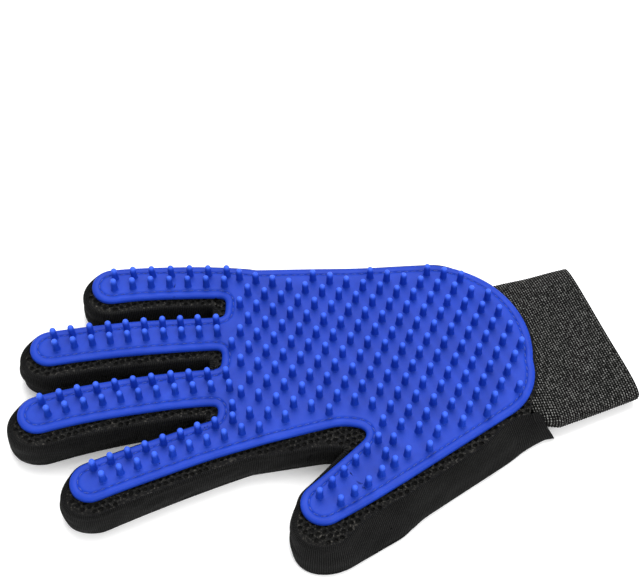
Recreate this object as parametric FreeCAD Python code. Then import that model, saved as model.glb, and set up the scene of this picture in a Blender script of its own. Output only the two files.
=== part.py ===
import FreeCAD, Part
import os
from math import atan2, cos, hypot, pi, sin

# Five-finger grooming glove for the left hand, lying flat, palm and rubber pins up.
# Millimetres. Fingers point to -X, the thumb to -Y, the cuff to +X, the pins to +Z.
# z = 0 is the table face under the back of the hand.

# ---------------------------------------------------------------- driving dimensions
BACK = 1.2              # knit back panel
WALL_HEIGHT = 10.0      # side gusset, between the back panel and the mesh panel
WALL = 1.0              # gusset fabric thickness
MESH = 1.8              # spacer mesh palm panel
PAD = 2.0               # moulded silicone pad
PIN_HEIGHT = 6.5        # grooming pin above the pad
PIN_BASE_RADIUS = 1.45
PIN_TIP_RADIUS = 1.1
THREAD_INSET = 3.2      # stitch line, in from the edge of the pad
THREAD_WIDTH = 0.6
THREAD_PROUD = 0.25
JOINT_GAP = 0.5         # between the two sides of a finger joint
SLOT_RADIUS = 2.6       # rounded ends of the slots between the digits of the pad
SLOT_LINE = -38.0       # slots between the fingers end at x below this,
THUMB_SLOT_LINE = -20.0  # and the slot beside the thumb ends at y above this
FAR_LINE = 50.0         # beyond this y the outline has no slot
HEEL_BORDER = 1.2       # mesh shown outside the pad round its heel

CUFF_ANGLE = 20.0       # the cuff lies at this angle to the middle of the hand
CUFF_START = 76.0       # seam and free end, measured along the cuff from the origin
CUFF_END = 119.0
CUFF_MIDDLE = -5.4      # middle of the cuff, across it from the origin
CUFF_WIDTH = 69.0
CUFF_THICKNESS = 10.4   # both layers and the space between them
ELASTIC = 1.6           # woven elastic band
TAIL_END = 83.0         # loose end of the thumb-side gusset, along the cuff
TAIL_ACROSS = -41.3     # where it lies across the cuff, just outside its fold

Z_WALL = BACK
Z_MESH = Z_WALL + WALL_HEIGHT
Z_PAD = Z_MESH + MESH
Z_TOP = Z_PAD + PAD

# Plan point of the shape -> plan point of the part, whose origin is the middle of its box.
SHIFT = (1.51, 2.09)

# Pin lattice of the palm: one pin, and the steps to its two neighbours.
LATTICE_PIN = (27.4, 27.0)
LATTICE_STEP_A = (6.82, -1.6)
LATTICE_STEP_B = (-3.08, -6.17)
PIN_MARGIN = 4.2        # least distance from a palm pin to the edge of the pad
PIN_SPACING = 4.7       # least distance from a palm pin to a pin of a digit
LATTICE_REACH = 14      # steps to each side of that pin, more than enough to cover the palm

DIGIT_REACH = 30.0      # more than any digit's half width, and more than it reaches past its tip centre
PROBE_RADIUS = 0.3      # round an upright edge, to tell an inner corner from an outer one
PROBES = 36
SEAM_OVERLAP = 1.6      # the cuff mouth cuts this far into the side walls
TAIL_OVERLAP = 2.0      # the loose end starts this far before the cuff
CRUMB = 0.05            # a scrap of thread smaller than this, in cubic millimetres, is dropped


class Finger:
    """One finger: the arc along its middle, its widths, its pins and where it bends.
    The arc goes through root, middle and tip, the centre of the round end."""

    def __init__(self, name, root, middle, tip, half, near, far, rows, pitch, beyond):
        self.name = name
        self.half = half                    # half width of the pad at root and tip
        self.near = near                    # mesh border on the thumb side, at root and tip
        self.far = far                      # mesh border on the other side
        self.rows = rows                    # (offsets to the far side, first station, pins)
        self.pitch = pitch
        self.beyond = beyond                # pins on the far side of each joint, from the palm out
        ax, ay = root
        bx, by = middle
        cx, cy = tip
        turn = (bx - ax) * (cy - ay) - (by - ay) * (cx - ax)
        sa, sb, sc = ax * ax + ay * ay, bx * bx + by * by, cx * cx + cy * cy
        scale = 2 * (ax * (by - cy) + bx * (cy - ay) + cx * (ay - by))
        self.cx = (sa * (by - cy) + sb * (cy - ay) + sc * (ay - by)) / scale
        self.cy = (sa * (cx - bx) + sb * (ax - cx) + sc * (bx - ax)) / scale
        self.radius = hypot(cx - self.cx, cy - self.cy)
        self.sense = 1.0 if turn > 0 else -1.0
        self.start = atan2(cy - self.cy, cx - self.cx)
        root_angle = atan2(ay - self.cy, ax - self.cx)
        self.length = self.radius * abs(root_angle - self.start)

    def at(self, station, offset=0.0):
        """Point at a distance from the tip centre, with an offset to the far side."""
        angle = self.start - self.sense * station / self.radius
        x = self.cx + self.radius * cos(angle)
        y = self.cy + self.radius * sin(angle)
        nx, ny = self.normal(station)
        return x + offset * nx, y + offset * ny

    def outward(self, station):
        """Unit vector from the root towards the tip."""
        angle = self.start - self.sense * station / self.radius
        return -self.sense * sin(angle), self.sense * cos(angle)

    def normal(self, station):
        """Unit vector to the side away from the thumb."""
        dx, dy = self.outward(station)
        return dy, -dx

    def pins(self):
        places = []
        for (at_tip, at_root), first, count in self.rows:
            for k in range(count):
                offset = at_tip + (at_root - at_tip) * k / (count - 1)
                places.append(self.at(first + k * self.pitch, offset))
        return places

    def joints(self):
        """Stations of the joints, each midway between two neighbouring pins."""
        stations = sorted(first + k * self.pitch for _, first, count in self.rows for k in range(count))
        return [(stations[number - 1] + stations[number]) / 2 for number in self.beyond]


FINGERS = [
    Finger("little", (-30, 53.2), (-58, 54.4), (-87.2, 52.0), (7.4, 8.3), (4.0, 5.4), (3.8, 3.4),
           [((3.1, 3.0), 1.7, 7), ((-2.3, -2.3), 1.1, 7)], 7.6, (12, 6)),
    Finger("ring", (-30, 28.7), (-70, 27.2), (-109.2, 21.8), (7.6, 8.0), (4.0, 5.8), (3.8, 3.2),
           [((4.1, 4.1), 2.3, 10), ((-1.3, -1.3), 2.8, 10)], 7.15, (18, 8)),
    Finger("middle", (-28, 4.0), (-68, 1.0), (-110.0, -8.6), (8.0, 8.2), (4.0, 6.4), (3.8, 3.2),
           [((4.1, 4.1), 2.3, 11), ((-1.9, -1.7), 3.7, 11)], 7.1, (18, 8)),
    Finger("index", (-20, -11.8), (-55, -24.2), (-86.8, -37.4), (7.8, 8.1), (4.4, 6.4), (3.8, 3.2),
           [((4.3, 4.6), 2.7, 10), ((-1.4, -1.4), 4.5, 9)], 6.85, (12, 6)),
    Finger("thumb", (27.6, -24.3), (14.0, -35.4), (0.0, -46.0), (12.2, 8.8), (9.5, 9.5), (4.5, 4.5),
           [((2.9, 7.3), 0.2, 6), ((-4.2, -4.2), 4.6, 6)], 6.4, (5,)),
]

# Outline of the palm of the pad: points joined by lines, or by an arc when a middle point is given.
PAD_PALM = [
    (-39.6, 60.3),
    ((5, 61.2), (46, 63.2)),
    ((77, 44), (83, 16)),
    ((81.5, 2.5), (72, -8.6)),
    (30, -37.5),
    (17.5, -20.0),
    (16.2, -14.6),
    ((8, -13.2), (0, -14.7)),
    (-41.0, -25.8),
]

# Outline of the body of the glove under the mesh, up to the seam with the cuff.
BODY_PALM = [
    (-43.4, 64.1),
    ((5, 65.2), (42, 67.0)),
    ((56, 64.0), (63.5, 54.0)),
    (86.0, -12.6),
    (75.5, -18.0),
    (32.0, -47.8),
    (14.0, -20.0),
    (0.0, -19.2),
    (-43.6, -30.6),
]


# Borders of the pad itself and of the two sides of its stitch line, at root and tip.
NO_BORDER = (0.0, 0.0)
STITCH_OUTSIDE = (-THREAD_INSET, -THREAD_INSET)
STITCH_INSIDE = (-THREAD_INSET - THREAD_WIDTH, -THREAD_INSET - THREAD_WIDTH)


def vector(point, z=0.0):
    return FreeCAD.Vector(point[0] - SHIFT[0], point[1] - SHIFT[1], z)


def outline_face(points):
    """Flat face inside a closed outline of lines and three-point arcs."""
    edges = []
    here = points[0]
    for step in points[1:]:
        if isinstance(step[0], tuple):
            edges.append(Part.Arc(vector(here), vector(step[0]), vector(step[1])).toShape())
            here = step[1]
        else:
            edges.append(Part.LineSegment(vector(here), vector(step)).toShape())
            here = step
    edges.append(Part.LineSegment(vector(here), vector(points[0])).toShape())
    return Part.Face(Part.Wire(edges))


def finger_face(finger, near, far):
    """Face of one finger, wider than the pad by a border on each side, given at root and tip."""
    def side(station, border, half, sign):
        return finger.at(station, sign * (half + border))

    length = finger.length
    half_mid = sum(finger.half) / 2
    far_side = [
        side(length, far[0], finger.half[0], 1),
        side(length / 2, sum(far) / 2, half_mid, 1),
        side(0, far[1], finger.half[1], 1),
    ]
    near_side = [
        side(0, near[1], finger.half[1], -1),
        side(length / 2, sum(near) / 2, half_mid, -1),
        side(length, near[0], finger.half[0], -1),
    ]
    reach = finger.half[1] + (near[1] + far[1]) / 2
    tip = finger.at(-reach, (far[1] - near[1]) / 2)
    return outline_face([
        far_side[0],
        (far_side[1], far_side[2]),
        (tip, near_side[0]),
        (near_side[1], near_side[2]),
    ])


def joined(faces):
    """One face that covers them all: the foot of their fused prisms."""
    prisms = [face.extrude(FreeCAD.Vector(0, 0, 1)) for face in faces]
    solid = prisms[0].multiFuse(prisms[1:]).removeSplitter()
    feet = [face for face in solid.Faces if abs(face.BoundBox.ZMax) < 1e-6]
    return Part.Face(feet[0].OuterWire)


def layer(face, z, height):
    """Solid sheet of this plan shape."""
    solid = face.extrude(FreeCAD.Vector(0, 0, height))
    solid.translate(FreeCAD.Vector(0, 0, z))
    return solid


def inner_corners(prism):
    """Upright edges of a prism where its outline turns inwards."""
    found = []
    for edge in prism.Edges:
        foot = edge.firstVertex().Point
        along = edge.lastVertex().Point.sub(foot)
        if hypot(along.x, along.y) > 1e-6:
            continue
        inside = 0
        for k in range(PROBES):
            angle = k * 2 * pi / PROBES
            step = FreeCAD.Vector(cos(angle), sin(angle), 0).multiply(PROBE_RADIUS)
            inside += prism.isInside(foot.add(step).add(FreeCAD.Vector(0, 0, 0.5)), 1e-6, True)
        if inside > 0.55 * PROBES:
            found.append(edge)
    return found


def round_slots(face, radius):
    """Round the inner corners at the ends of the slots between the digits."""
    prism = face.extrude(FreeCAD.Vector(0, 0, 1))
    slot_ends = [edge for edge in inner_corners(prism)
                 if edge.firstVertex().X < SLOT_LINE or edge.firstVertex().Y > THUMB_SLOT_LINE]
    slot_ends = [edge for edge in slot_ends if edge.firstVertex().Y < FAR_LINE]
    prism = prism.makeFillet(radius, slot_ends)
    feet = [foot for foot in prism.Faces if abs(foot.BoundBox.ZMax) < 1e-6]
    return Part.Face(feet[0].OuterWire)


def region(finger, start, end):
    """Plan face of everything beyond one joint of a finger, up to the next, or past the tip."""
    end = -DIGIT_REACH if end is None else end
    corners = [(start, -DIGIT_REACH), (start, DIGIT_REACH), (end, DIGIT_REACH), (end, -DIGIT_REACH)]
    return outline_face([finger.at(station, offset) for station, offset in corners])


def segments(finger, near, far):
    """Plan faces of the finger between its joints, from the palm outwards."""
    whole = finger_face(finger, near, far)
    stations = finger.joints()
    half_gap = JOINT_GAP / 2
    pieces = []
    for index, station in enumerate(stations):
        end = stations[index + 1] + half_gap if index + 1 < len(stations) else None
        pieces.append(whole.common(region(finger, station - half_gap, end)).Faces[0])
    return pieces


def palm_only(face, border=True):
    """The plan face without what lies beyond the first joint of each digit."""
    for finger in FINGERS:
        station = finger.joints()[0] + JOINT_GAP / 2
        near, far = (finger.near, finger.far) if border else (NO_BORDER, NO_BORDER)
        near = tuple(width + JOINT_GAP for width in near)
        far = tuple(width + JOINT_GAP for width in far)
        digit = finger_face(finger, near, far).common(region(finger, station, None))
        face = face.cut(digit)
    return max(face.Faces, key=lambda piece: piece.Area)


def pin(x, y):
    """One grooming pin: a slightly tapered stalk with a domed tip."""
    foot = vector((x, y), Z_TOP - PAD / 2)
    stalk_height = PAD / 2 + PIN_HEIGHT - PIN_TIP_RADIUS
    stalk = Part.makeCone(PIN_BASE_RADIUS, PIN_TIP_RADIUS, stalk_height, foot)
    dome = Part.makeSphere(PIN_TIP_RADIUS, foot.add(FreeCAD.Vector(0, 0, stalk_height)))
    return stalk.fuse(dome)


def palm_pins(face, palm):
    """Lattice points of the palm that lie far enough inside the pad."""
    places = []
    steps = range(-LATTICE_REACH, LATTICE_REACH + 1)
    for i in steps:
        for j in steps:
            x = LATTICE_PIN[0] + i * LATTICE_STEP_A[0] + j * LATTICE_STEP_B[0]
            y = LATTICE_PIN[1] + i * LATTICE_STEP_A[1] + j * LATTICE_STEP_B[1]
            spot = vector((x, y))
            if not palm.isInside(spot, 1e-6, True):
                continue
            if face.OuterWire.distToShape(Part.Vertex(spot))[0] < PIN_MARGIN:
                continue
            if all(hypot(x - px, y - py) > PIN_SPACING for px, py in DIGIT_PINS):
                places.append((x, y))
    return places


def ring(outer, inner, z, height):
    """Upright wall, or flat band, between two plan outlines."""
    return layer(outer, z, height).cut(layer(inner, z, height))


def clear_of(shape, other):
    """What is left of a shape outside another, without crumbs."""
    return [solid for solid in shape.cut(other).Solids if solid.Volume > CRUMB]


def save(node, solids):
    solids = solids if isinstance(solids, list) else [solids]
    shape = solids[0] if len(solids) == 1 else Part.makeCompound(solids)
    shape.exportStep("parts/" + node + ".step")
    print(f"{node:26s} {len(solids):3d} solids {shape.Volume / 1000:8.2f} cm3 valid {shape.isValid()}")
    BOXES.add(shape.optimalBoundingBox(False, False))


# ---------------------------------------------------------------- plan shapes
pad_face = joined([outline_face(PAD_PALM)]
                  + [finger_face(f, NO_BORDER, NO_BORDER) for f in FINGERS])
pad_face = round_slots(pad_face, SLOT_RADIUS)
body_face = joined([outline_face(BODY_PALM)] + [finger_face(f, f.near, f.far) for f in FINGERS])
body_inside = body_face.makeOffset2D(-WALL)
heel_cover = outline_face(PAD_PALM).makeOffset2D(HEEL_BORDER)
thread_outer = pad_face.makeOffset2D(-THREAD_INSET)
thread_inner = pad_face.makeOffset2D(-THREAD_INSET - THREAD_WIDTH)
DIGIT_PINS = [place for finger in FINGERS for place in finger.pins()]

PALM_PINS = palm_pins(pad_face, palm_only(pad_face, border=False))
BOXES = FreeCAD.BoundBox()
os.makedirs("parts", exist_ok=True)


# ---------------------------------------------------------------- palm and back of the hand
def pinned_pad(face, places):
    """Silicone sheet with every pin that stands on this plan face, moulded in one piece."""
    sheet = layer(face, Z_PAD, PAD)
    standing = [pin(x, y) for x, y in places if face.isInside(vector((x, y)), 1e-6, True)]
    return sheet.multiFuse(standing), len(standing)


def cuff_box(start, end, low, high, z, height):
    """Block lying along the cuff: start and end along it, low and high across it."""
    box = Part.makeBox(end - start, high - low, height, FreeCAD.Vector(start, low, z))
    box.rotate(FreeCAD.Vector(0, 0, 0), FreeCAD.Vector(0, 0, 1), CUFF_ANGLE)
    box.translate(FreeCAD.Vector(-SHIFT[0], -SHIFT[1], 0))
    return box


def cuff_tube(width, thickness, z):
    """Flattened tube with round folds, from the cuff seam to its free end."""
    low = CUFF_MIDDLE - width / 2
    fold = thickness / 2
    length = CUFF_END - CUFF_START
    body = Part.makeBox(length, width - thickness, thickness,
                        FreeCAD.Vector(CUFF_START, low + fold, z))
    for across in (low + fold, low + width - fold):
        centre = FreeCAD.Vector(CUFF_START, across, z + fold)
        body = body.fuse(Part.makeCylinder(fold, length, centre, FreeCAD.Vector(1, 0, 0)))
    body = body.removeSplitter()
    body.rotate(FreeCAD.Vector(0, 0, 0), FreeCAD.Vector(0, 0, 1), CUFF_ANGLE)
    body.translate(FreeCAD.Vector(-SHIFT[0], -SHIFT[1], 0))
    return body


palm_pad, pin_total = pinned_pad(palm_only(pad_face, border=False), PALM_PINS + DIGIT_PINS)
save("palm_pad", palm_pad)
palm_thread = ring(palm_only(thread_outer), thread_inner, Z_TOP, THREAD_PROUD)
save("palm_stitching", clear_of(palm_thread, palm_pad))

palm_body = palm_only(body_face)
palm_mesh = palm_only(joined([body_face, heel_cover]))
save("palm_mesh", layer(palm_mesh, Z_MESH, MESH))
cuff = cuff_tube(CUFF_WIDTH, CUFF_THICKNESS, 0)
back_pieces = layer(palm_body, 0, BACK).cut(cuff).Solids
save("back_panel", max(back_pieces, key=lambda piece: piece.Volume))

wrist_mouth = cuff_box(CUFF_START - SEAM_OVERLAP, CUFF_END, CUFF_MIDDLE - CUFF_WIDTH / 2,
                       CUFF_MIDDLE + CUFF_WIDTH / 2, 0, Z_TOP)
walls = ring(palm_body, body_inside, Z_WALL, WALL_HEIGHT).cut(wrist_mouth).Solids
walls.sort(key=lambda wall: wall.Volume, reverse=True)
little_side, thumb_side, index_side = walls[:3]
tail = cuff_box(CUFF_START - TAIL_OVERLAP, TAIL_END, TAIL_ACROSS, TAIL_ACROSS + WALL, Z_WALL, WALL_HEIGHT)
save("gusset_little_side", little_side)
save("gusset_thumb_side", thumb_side.fuse(tail).removeSplitter())
save("gusset_index_side", index_side)
save("gusset_finger_crotches", walls[3:])

cuff_hollow = cuff_tube(CUFF_WIDTH - 2 * ELASTIC, CUFF_THICKNESS - 2 * ELASTIC, ELASTIC)
save("cuff_elastic", cuff.cut(cuff_hollow))


# ---------------------------------------------------------------- digits
for finger in FINGERS:
    names = ["base", "tip"] if len(finger.beyond) == 2 else ["tip"]
    inner_near = tuple(width - WALL for width in finger.near)
    inner_far = tuple(width - WALL for width in finger.far)
    pads = segments(finger, NO_BORDER, NO_BORDER)
    bodies = segments(finger, finger.near, finger.far)
    hollows = segments(finger, inner_near, inner_far)
    threads = segments(finger, STITCH_OUTSIDE, STITCH_OUTSIDE)
    thread_holes = segments(finger, STITCH_INSIDE, STITCH_INSIDE)
    for index, part in enumerate(names):
        node = finger.name + "_" + part + "_"
        pad, count = pinned_pad(pads[index], DIGIT_PINS + PALM_PINS)
        pin_total += count
        save(node + "pad", pad)
        thread = ring(threads[index], thread_holes[index], Z_TOP, THREAD_PROUD)
        save(node + "stitching", clear_of(thread, pad))
        save(node + "mesh", layer(bodies[index], Z_MESH, MESH))
        save(node + "gusset", ring(bodies[index], hollows[index], Z_WALL, WALL_HEIGHT).Solids)
        save(node + "back", layer(bodies[index], 0, BACK))

print("pins", pin_total, "of", len(PALM_PINS) + len(DIGIT_PINS))
print("box", BOXES)
print("middle of the box", BOXES.Center)
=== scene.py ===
import math
import bpy
import numpy as np
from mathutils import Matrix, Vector
from mathutils.geometry import delaunay_2d_cdt


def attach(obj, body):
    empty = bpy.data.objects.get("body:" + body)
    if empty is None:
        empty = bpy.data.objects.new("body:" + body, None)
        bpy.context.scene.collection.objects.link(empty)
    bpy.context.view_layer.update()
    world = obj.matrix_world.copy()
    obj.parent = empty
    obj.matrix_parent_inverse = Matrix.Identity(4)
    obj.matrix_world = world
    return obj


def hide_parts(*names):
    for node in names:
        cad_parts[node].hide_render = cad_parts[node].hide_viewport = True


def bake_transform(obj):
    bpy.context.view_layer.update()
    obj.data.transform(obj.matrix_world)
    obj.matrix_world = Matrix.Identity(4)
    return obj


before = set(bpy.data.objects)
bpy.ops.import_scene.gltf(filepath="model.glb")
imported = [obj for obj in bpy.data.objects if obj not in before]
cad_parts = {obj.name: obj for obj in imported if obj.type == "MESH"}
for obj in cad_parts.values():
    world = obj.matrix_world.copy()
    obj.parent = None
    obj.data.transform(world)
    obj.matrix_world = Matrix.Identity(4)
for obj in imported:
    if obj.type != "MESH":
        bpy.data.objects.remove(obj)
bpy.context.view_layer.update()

# Grooming glove for the left hand, lying palm and pins up with its fingers towards -X. Plan shapes are
# worked out in millimetres, and become metres when a mesh is made. The outlines are built as in the CAD
# model, with a narrower border of fabric on the far side, away from the thumb.
MM = 0.001
SHIFT = np.array([1.51, 2.09])  # subtracted from plan points, so that the part is centred
Z_BACK = 1.2                    # inner face of the back panel
Z_MESH = 11.2                   # underside of the mesh panel
Z_PAD = 13.0                    # underside of the pad
Z_TOP = 15.0                    # top of the pad, without its pins
STEP = 0.5                      # spacing of the points along an outline
SAG = 0.28                      # unevenness of the soft layers

THREAD_INSET = 3.2              # from the edge of the pad to its line of stitches
THREAD_RADIUS = 0.19
THREAD_LEVEL = 14.58            # height of the ends of a stitch
STITCH_PITCH = 3.1
STITCH_GAP = 0.9                # between one stitch and the next
STITCH_SLANT = 0.22

HEEL_BORDER = 1.2               # mesh that shows beyond the pad at the heel of the hand
HOLE_PITCH = 2.65
HOLE_RADIUS = (1.02, 0.88)
HOLE_SIDES = 9

WALL_FOOT, WALL_TOP = 1.4, 11.5  # the part of the side wall between its hem and its lip
TAIL_POINTS = 6                 # outline points of its loose end, over the cuff
SEAM_FAR, SEAM_NEAR = (62.6, 56.0), (83.2, -14.1)  # plan points where the wall meets the cuff

CUFF_ANGLE = math.radians(20)
CUFF_START, CUFF_END = 75.0, 119.0  # along the line of the cuff
CUFF_MIDDLE = -5.4              # across that line
CUFF_WIDTH = (70.0, 66.5)       # at its seam and at its free end
CUFF_NECK = 9.0                 # taken off at the seam, less and less over the same length
CUFF_THICKNESS = 10.2           # of the flattened tube at its free end
CUFF_SWELL = 2.1                # added to that at the seam
CUFF_SIDES = 260
ELASTIC = 1.5                   # thickness of the band
RIB_PITCH = 1.05
RIB_SAMPLES = 5

WALE_PITCH, COURSE_PITCH = 0.72, 0.55  # of the knit, along and across the strip
YARN_PITCH = 1.15               # of the elastic, across its ribs

LATTICE_PIN = (27.4, 27.0)      # one pin of the palm, and the steps to its neighbours
LATTICE_STEP_A = (6.82, -1.6)
LATTICE_STEP_B = (-3.08, -6.17)
PIN_MARGIN = 4.2                # from the edge of the pad to the middle of a pin
PIN_SPACING = 4.7               # from a digit's pins to those of the palm
PIN_HEIGHT = 6.5
PIN_SIDES = 18
PIN_PROFILE = [                 # radius, and height above the pad
    (0.0, -0.5), (1.70, -0.5), (1.72, -0.05), (1.52, 0.04), (1.41, 0.2), (1.36, 0.6), (1.34, 2.0),
    (1.32, 3.6), (1.29, 4.9), (1.22, 5.5), (1.05, 5.95), (0.78, 6.26), (0.41, 6.44), (0.0, PIN_HEIGHT),
]
RIGID_SHARE = 0.94              # RIGID_SHARE = 0.94 # a pin further than this through its piece's bend goes in the piece's mesh of pins
LONG_BEND = 200.0               # LONG_BEND = 200.0 # length of the bend given for a pin that is its own mesh

FINGER_REACH = (18.0, 18.0)     # how far from its middle fabric belongs to a digit: far and near
THUMB_REACH = (20.8, 28.0)
TIP_REACH = 30.0                # and beyond its tip centre
CUT_MARGIN = 1.4                # the layers are divided this far before a bend starts

rng = np.random.default_rng(7)


# ---- digits
def circle_centre(a, b, c):
    """Centre of the circle through three points."""
    return np.linalg.solve(2 * np.array([b - a, c - a]), np.array([b @ b - a @ a, c @ c - a @ a]))


class Digit:
    """The arc along a digit's middle from root to tip, its half widths there, and its fabric borders
    towards the thumb (near) and away from it (far). Each row of pins has its offsets at the tip and the
    root end, its first station and its count, and each joint has a number of pins beyond it. Stations
    run from the tip centre to the root."""

    def __init__(self, name, arc, half, near, far, rows, pitch, beyond, fold):
        self.name, self.half, self.near, self.far = name, half, near, far
        self.rows, self.pitch = rows, pitch
        self.fold = fold            # how far each bend starts before its joint, and ends after it
        root, middle, tip = (np.array(point, float) for point in arc)
        self.centre = circle_centre(root, middle, tip)
        self.radius = np.linalg.norm(tip - self.centre)
        (ax, ay), (bx, by) = middle - root, tip - root
        self.sense = 1.0 if ax * by > ay * bx else -1.0
        self.start, end = (math.atan2(*(point - self.centre)[::-1]) for point in (tip, root))
        self.length = self.radius * abs(end - self.start)
        stations = sorted(first + k * pitch for _, first, count in rows for k in range(count))
        self.joints = [(stations[number - 1] + stations[number]) / 2 for number in beyond]

    def at(self, station, offset=0.0):
        """Plan point at a distance from the tip centre, offset to the side away from the thumb."""
        angle = self.start - self.sense * station / self.radius
        ray = np.array([math.cos(angle), math.sin(angle)])
        return self.centre + (self.radius + self.sense * offset) * ray

    def locate(self, points):
        """Station and offset of plan points."""
        rel = points - self.centre
        angle = np.arctan2(rel[:, 1], rel[:, 0])
        turn = (self.start - angle + math.pi) % math.tau - math.pi
        outward = np.hypot(rel[:, 0], rel[:, 1]) - self.radius
        return self.sense * turn * self.radius, self.sense * outward

    def pins(self):
        """Plan points of its own pins."""
        return [self.at(first + k * self.pitch, at_tip + (at_root - at_tip) * k / (count - 1))
                for (at_tip, at_root), first, count in self.rows for k in range(count)]


DIGITS = [
    Digit("little", ((-30, 53.2), (-58, 54.4), (-87.2, 52.0)), (7.4, 8.3), (4.0, 5.4), (1.0, 0.8),
          [((3.1, 3.0), 1.7, 7), ((-2.3, -2.3), 1.1, 7)], 7.6, (12, 6), ((-1.3, 8.0), (4.0, 4.0))),
    Digit("ring", ((-30, 28.7), (-70, 27.2), (-109.2, 21.8)), (7.6, 8.0), (4.0, 5.8), (1.0, 0.8),
          [((4.1, 4.1), 2.3, 10), ((-1.3, -1.3), 2.8, 10)], 7.15, (18, 8), ((1.6, 5.0), (4.0, 4.0))),
    Digit("middle", ((-28, 4.0), (-68, 1.0), (-110.0, -8.6)), (8.0, 8.2), (4.0, 6.4), (1.0, 0.8),
          [((4.1, 4.1), 2.3, 11), ((-1.9, -1.7), 3.7, 11)], 7.1, (18, 8), ((0.8, 6.0), (4.0, 4.0))),
    Digit("index", ((-20, -11.8), (-55, -24.2), (-86.8, -37.4)), (7.8, 8.1), (4.4, 6.4), (1.0, 0.8),
          [((4.3, 4.6), 2.7, 10), ((-1.4, -1.4), 4.5, 9)], 6.85, (12, 6), ((4.0, 4.0), (4.0, 4.0))),
    Digit("thumb", ((27.6, -24.3), (14.0, -35.4), (0.0, -46.0)), (12.2, 8.8), (9.5, 9.5), (3.6, 0.8),
          [((2.9, 7.3), 0.2, 6), ((-4.2, -4.2), 4.6, 6)], 6.4, (5,), ((-1.2, 7.2),)),
]

PAD_PALM = [
    (-39.6, 60.3), ((5, 61.2), (46, 63.2)), ((77, 44), (83, 16)), ((81.5, 2.5), (72, -8.6)),
    (30, -37.5), (17.5, -20.0), (16.2, -14.6), ((8, -13.2), (0, -14.7)), (-41.0, -25.8),
]
BODY_PALM = [
    (-45.0, 61.1), ((5, 62.1), (42, 64.0)), ((55, 62.0), (63.5, 54.0)), (86.0, -12.6),
    (75.5, -18.0), (32.0, -47.8), (13.0, -22.6), (0.0, -22.8), (-45.0, -30.6),
]


# ---- outlines
def arc_points(a, b, c):
    """Points of the arc through three points, without the first."""
    a, b, c = (np.array(p, float) for p in (a, b, c))
    centre = circle_centre(a, b, c)
    angles = [math.atan2(*(p - centre)[::-1]) for p in (a, b, c)]

    def wrap(angle):
        return (angle + math.pi) % math.tau - math.pi

    total = wrap(angles[1] - angles[0]) + wrap(angles[2] - angles[1])
    radius = np.linalg.norm(a - centre)
    count = max(3, int(abs(total) * radius / STEP))
    turns = angles[0] + total * np.arange(1, count + 1) / count
    return centre + radius * np.c_[np.cos(turns), np.sin(turns)]


def polygon(outline):
    """Points of a closed outline of straight lines, and of arcs where a middle point is given."""
    points = [np.array([outline[0]], float)]
    for step in outline[1:]:
        if isinstance(step[0], (tuple, np.ndarray)):
            points.append(arc_points(points[-1][-1], step[0], step[1]))
        else:
            points.append(np.array([step], float))
    return np.concatenate(points)


def ease(value, start, span):
    """0 up to the start, 1 from the end of the span, and a smooth step between."""
    share = np.clip((value - start) / span, 0, 1)
    return share * share * (3 - 2 * share)


def digit_polygon(digit, near=(0.0, 0.0), far=(0.0, 0.0)):
    """Outline of one digit, wider than its pad by a border on each side. Round the tip the far border
    changes into the near one."""
    length, half = digit.length, digit.half
    half_mid = sum(half) / 2
    turn = np.linspace(0, math.pi, 40)[1:-1]
    radius = half[1] + far[1] + (near[1] - far[1]) * ease(turn, 0.7, 1.6)
    tip = [digit.at(-r * math.sin(t), r * math.cos(t)) for r, t in zip(radius, turn)]
    return polygon([
        digit.at(length, half[0] + far[0]),
        (digit.at(length / 2, half_mid + sum(far) / 2), digit.at(0, half[1] + far[1])),
        *tip,
        digit.at(0, -half[1] - near[1]),
        (digit.at(length / 2, -half_mid - sum(near) / 2), digit.at(length, -half[0] - near[0])),
    ])


def triangulate(points, faces):
    """Triangles that keep the edges of faces: points, triangles, the given points that each point
    stands for, and the given faces that each triangle lies in."""
    flat = [tuple(point) for point in points]
    verts, _, tris, sources, _, origins = delaunay_2d_cdt(flat, [], faces, 0, 1e-5)
    return np.array([tuple(vert) for vert in verts]), tris, sources, origins


def joined(loops):
    """Points of several loops in one array, and the numbers of the points of each loop."""
    ends = np.cumsum([len(loop) for loop in loops])
    return np.concatenate(loops), [list(range(end - len(loop), end)) for loop, end in zip(loops, ends)]


def signed_area(loop):
    """Area inside a loop, above 0 if it runs anticlockwise."""
    x, y = loop[:, 0], loop[:, 1]
    return (x * np.roll(y, -1) - np.roll(x, -1) * y).sum() / 2


def outer_loop(polygons):
    """Outline of the union of polygons, anticlockwise."""
    shapes = [shape if signed_area(shape) > 0 else shape[::-1] for shape in polygons]
    verts, tris, _, origins = triangulate(*joined(shapes))
    # A dictionary and not a set, so that the outline always starts at the same point.
    edges = {}
    for tri, origin in zip(tris, origins):
        if origin:
            edges.update(dict.fromkeys(zip(tri, tri[1:] + tri[:1])))
    border = {a: b for (a, b) in edges if (b, a) not in edges}
    loops = []
    while border:
        start = next(iter(border))
        loop, here = [start], border.pop(start)
        while here != start and here in border:
            loop.append(here)
            here = border.pop(here)
        loops.append(loop)
    loop = verts[max(loops, key=len)]
    return loop if signed_area(loop) > 0 else loop[::-1]


def circle_angles(count):
    """Angles of points evenly spaced round a circle."""
    return np.arange(count) * math.tau / count


def run_along(points):
    """Distance along a line to each of its points."""
    step = np.linalg.norm(np.diff(points, axis=0), axis=1)
    return np.concatenate([[0], np.cumsum(step)])


def measured(loop):
    """Length of a closed outline, and a function that gives its points at distances along it."""
    closed = np.concatenate([loop, loop[:1]])
    run = run_along(closed)

    def place(at):
        at = at % run[-1]
        return np.c_[np.interp(at, run, closed[:, 0]), np.interp(at, run, closed[:, 1])]

    return run[-1], place


def resample(loop):
    """Closed outline with evenly spaced points, about a step apart."""
    length, place = measured(loop)
    count = int(round(length / STEP))
    return place(np.arange(count) * length / count)


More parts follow.
